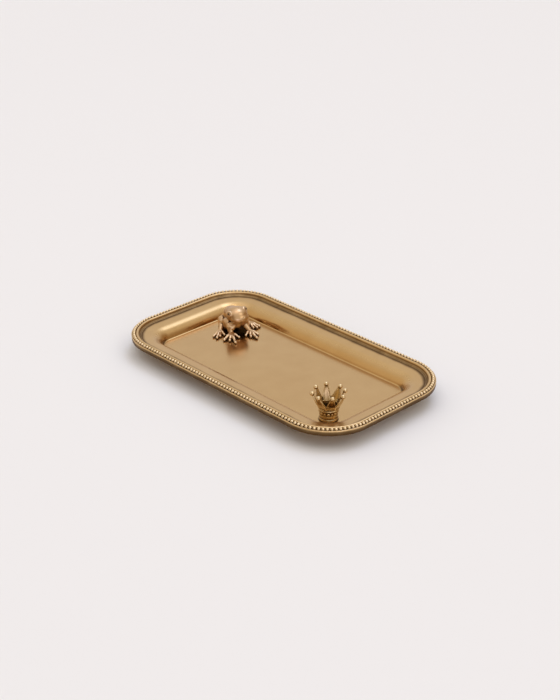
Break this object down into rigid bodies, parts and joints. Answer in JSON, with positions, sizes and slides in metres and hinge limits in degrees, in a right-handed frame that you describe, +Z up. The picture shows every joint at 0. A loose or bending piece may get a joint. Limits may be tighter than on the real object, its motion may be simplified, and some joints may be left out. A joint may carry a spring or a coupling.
{
  "type": "decorative tray",
  "caption": "Low rectangular brass tray with round corners, beaded rim, sloped wall and flat floor, with a seated frog at one end and an open ball-tipped crown at the other.",
  "frame": {"origin": "on the table, under the middle of the tray's outline", "axes": "+Z up; +X along the long side, from the frog's end towards the crown's end; +Y across the tray, to the left when looking along +X"},
  "size_m": [0.25, 0.1416, 0.0287],
  "materials": {
    "satin_brass": "satin, brushed, light patina in the creases",
    "aged_brass": "satin with dark patina in the grooves",
    "bead_brass": "polished tops, dark between the beads",
    "figure_brass": "cast, hand-polished, antique patina",
    "screw_steel": "zinc plated",
    "pad_rubber": "matte"
  },
  "bodies": {
    "root": {"tray_pan": "satin_brass", "rim_moulding": "aged_brass", "bead_wire": "bead_brass", "frog_figure": "figure_brass", "crown_figure": "figure_brass", "frog_right_screw": "screw_steel", "frog_left_screw": "screw_steel", "crown_screw": "screw_steel", "frog_right_washer": "screw_steel", "frog_left_washer": "screw_steel", "crown_washer": "screw_steel", "foot_pad_frog_end_right": "pad_rubber", "foot_pad_frog_end_left": "pad_rubber", "foot_pad_crown_end_right": "pad_rubber", "foot_pad_crown_end_left": "pad_rubber"}
  },
  "joints": []
}
